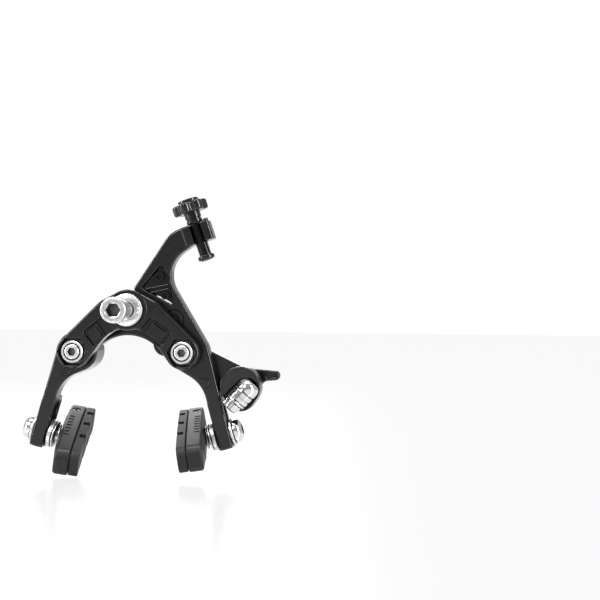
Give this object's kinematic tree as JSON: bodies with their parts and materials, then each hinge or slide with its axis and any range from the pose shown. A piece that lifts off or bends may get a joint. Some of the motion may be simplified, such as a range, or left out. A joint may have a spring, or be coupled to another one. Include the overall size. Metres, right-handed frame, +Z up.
{
  "type": "rim brake caliper",
  "caption": "Symmetric dual-pivot rim brake caliper with two pad arms on a bridge, barrel cable adjuster, quick release cable anchor and recessed mounting bolt.",
  "frame": {"origin": "on the mounting bolt's axis, at the rear face of the bridge", "axes": "-Y along the mounting bolt towards the bicycle's frame or fork, +Z up, +X to the right when seen from the frame side"},
  "size_m": [0.1037, 0.0667, 0.1112],
  "materials": {
    "gloss_black": "gloss black paint over forged aluminium",
    "cam_black": "satin black anodised aluminium",
    "steel": "satin silver plating",
    "chrome": "bright chrome plating",
    "brass": "plain bearing brass",
    "spring_steel": "drawn spring wire",
    "adjuster_black": "black anodised aluminium",
    "holder_plastic": "moulded dark grey plastic",
    "pad_rubber": "moulded brake rubber"
  },
  "bodies": {
    "root": {"bridge_plate": "gloss_black", "mounting_bolt": "steel", "bolt_head_washer": "steel", "knurled_washer": "steel", "recessed_nut": "steel", "left_pivot_bolt": "steel", "left_pivot_nut": "steel", "left_thrust_washer": "brass", "right_pivot_bolt": "steel", "right_pivot_nut": "steel", "right_thrust_washer": "brass", "return_spring": "spring_steel"},
    "anchor_arm": {"anchor_arm": "gloss_black", "left_pivot_bush": "brass", "left_stop_pin": "gloss_black", "roller_pin": "steel", "anchor_bush": "brass"},
    "adjuster_arm": {"adjuster_arm": "gloss_black", "right_pivot_bush": "brass", "right_stop_pin": "gloss_black"},
    "roller": {"sync_roller": "steel"},
    "knob": {"adjuster_knob": "adjuster_black"},
    "barrel": {"adjuster_barrel": "adjuster_black", "barrel_stop_ring": "adjuster_black"},
    "release": {"release_cam": "cam_black", "release_axle": "steel", "release_washer": "steel", "release_lever": "gloss_black"},
    "clamp": {"clamp_collar": "chrome", "clamp_bolt": "chrome", "clamp_washer": "chrome", "clamp_nut": "chrome"},
    "left_pad_mount": {"left_pad_bolt": "chrome", "left_outer_washer": "steel", "left_inner_washer": "steel", "left_cup_washer": "steel"},
    "left_pad": {"left_ball_washer": "steel", "left_pad_holder": "holder_plastic", "left_pad_rubber": "pad_rubber", "left_pad_screw": "steel"},
    "right_pad_mount": {"right_pad_bolt": "chrome", "right_outer_washer": "steel", "right_inner_washer": "steel", "right_cup_washer": "steel"},
    "right_pad": {"right_ball_washer": "steel", "right_pad_holder": "holder_plastic", "right_pad_rubber": "pad_rubber", "right_pad_screw": "steel"}
  },
  "joints": [
    {"name": "anchor_arm_pivot", "type": "hinge", "parent": "root", "child": "anchor_arm", "pos_m": [-0.022, 0.015, -0.0168], "axis": [0, -1, 0], "range_deg": [0, 12], "stiffness_Nm_per_rad": 0.08, "springref_deg": -34.38, "deforming": ["return_spring"]},
    {"name": "adjuster_arm_pivot", "type": "hinge", "parent": "root", "child": "adjuster_arm", "pos_m": [0.022, 0.0115, -0.0168], "axis": [0, 1, 0], "range_deg": [0, 12]},
    {"name": "roller_spin", "type": "hinge", "parent": "anchor_arm", "child": "roller", "pos_m": [0.0175, 0.0118, -0.0037], "axis": [0, 1, 0], "continuous": true},
    {"name": "knob_turn", "type": "hinge", "parent": "adjuster_arm", "child": "knob", "pos_m": [0.0264, 0.01175, 0.0309], "axis": [-0.3239, 0, 0.9461], "range_deg": [0, 1441]},
    {"name": "barrel_slide", "type": "slide", "parent": "adjuster_arm", "child": "barrel", "axis": [-0.3239, 0, 0.9461], "range_m": [0, 0.004]},
    {"name": "release_turn", "type": "hinge", "parent": "anchor_arm", "child": "release", "pos_m": [0.0441, 0.015, -0.0303], "axis": [0, -1, 0], "range_deg": [0, 53]},
    {"name": "clamp_swivel", "type": "hinge", "parent": "release", "child": "clamp", "pos_m": [0.0449, 0.0077, -0.0336], "axis": [0, -1, 0], "range_deg": [-5, 5]},
    {"name": "left_pad_height", "type": "slide", "parent": "anchor_arm", "child": "left_pad_mount", "axis": [0.2723, 0, 0.9622], "range_m": [0, 0.0095]},
    {"name": "left_pad_tilt", "type": "hinge", "parent": "left_pad_mount", "child": "left_pad", "pos_m": [-0.0372, 0.01425, -0.0495], "axis": [0.9622, 0, -0.2723], "range_deg": [-20, 20]},
    {"name": "right_pad_height", "type": "slide", "parent": "adjuster_arm", "child": "right_pad_mount", "axis": [-0.2723, 0, 0.9622], "range_m": [0, 0.003]},
    {"name": "right_pad_tilt", "type": "hinge", "parent": "right_pad_mount", "child": "right_pad", "pos_m": [0.0372, 0.01425, -0.0495], "axis": [0.9622, 0, 0.2723], "range_deg": [-20, 20]}
  ],
  "couplings": [
    {"joint": "adjuster_arm_pivot", "follows": "anchor_arm_pivot", "ratio": 1},
    {"joint": "knob_turn", "follows": "barrel_slide", "rad_per_m": 6283.2}
  ]
}
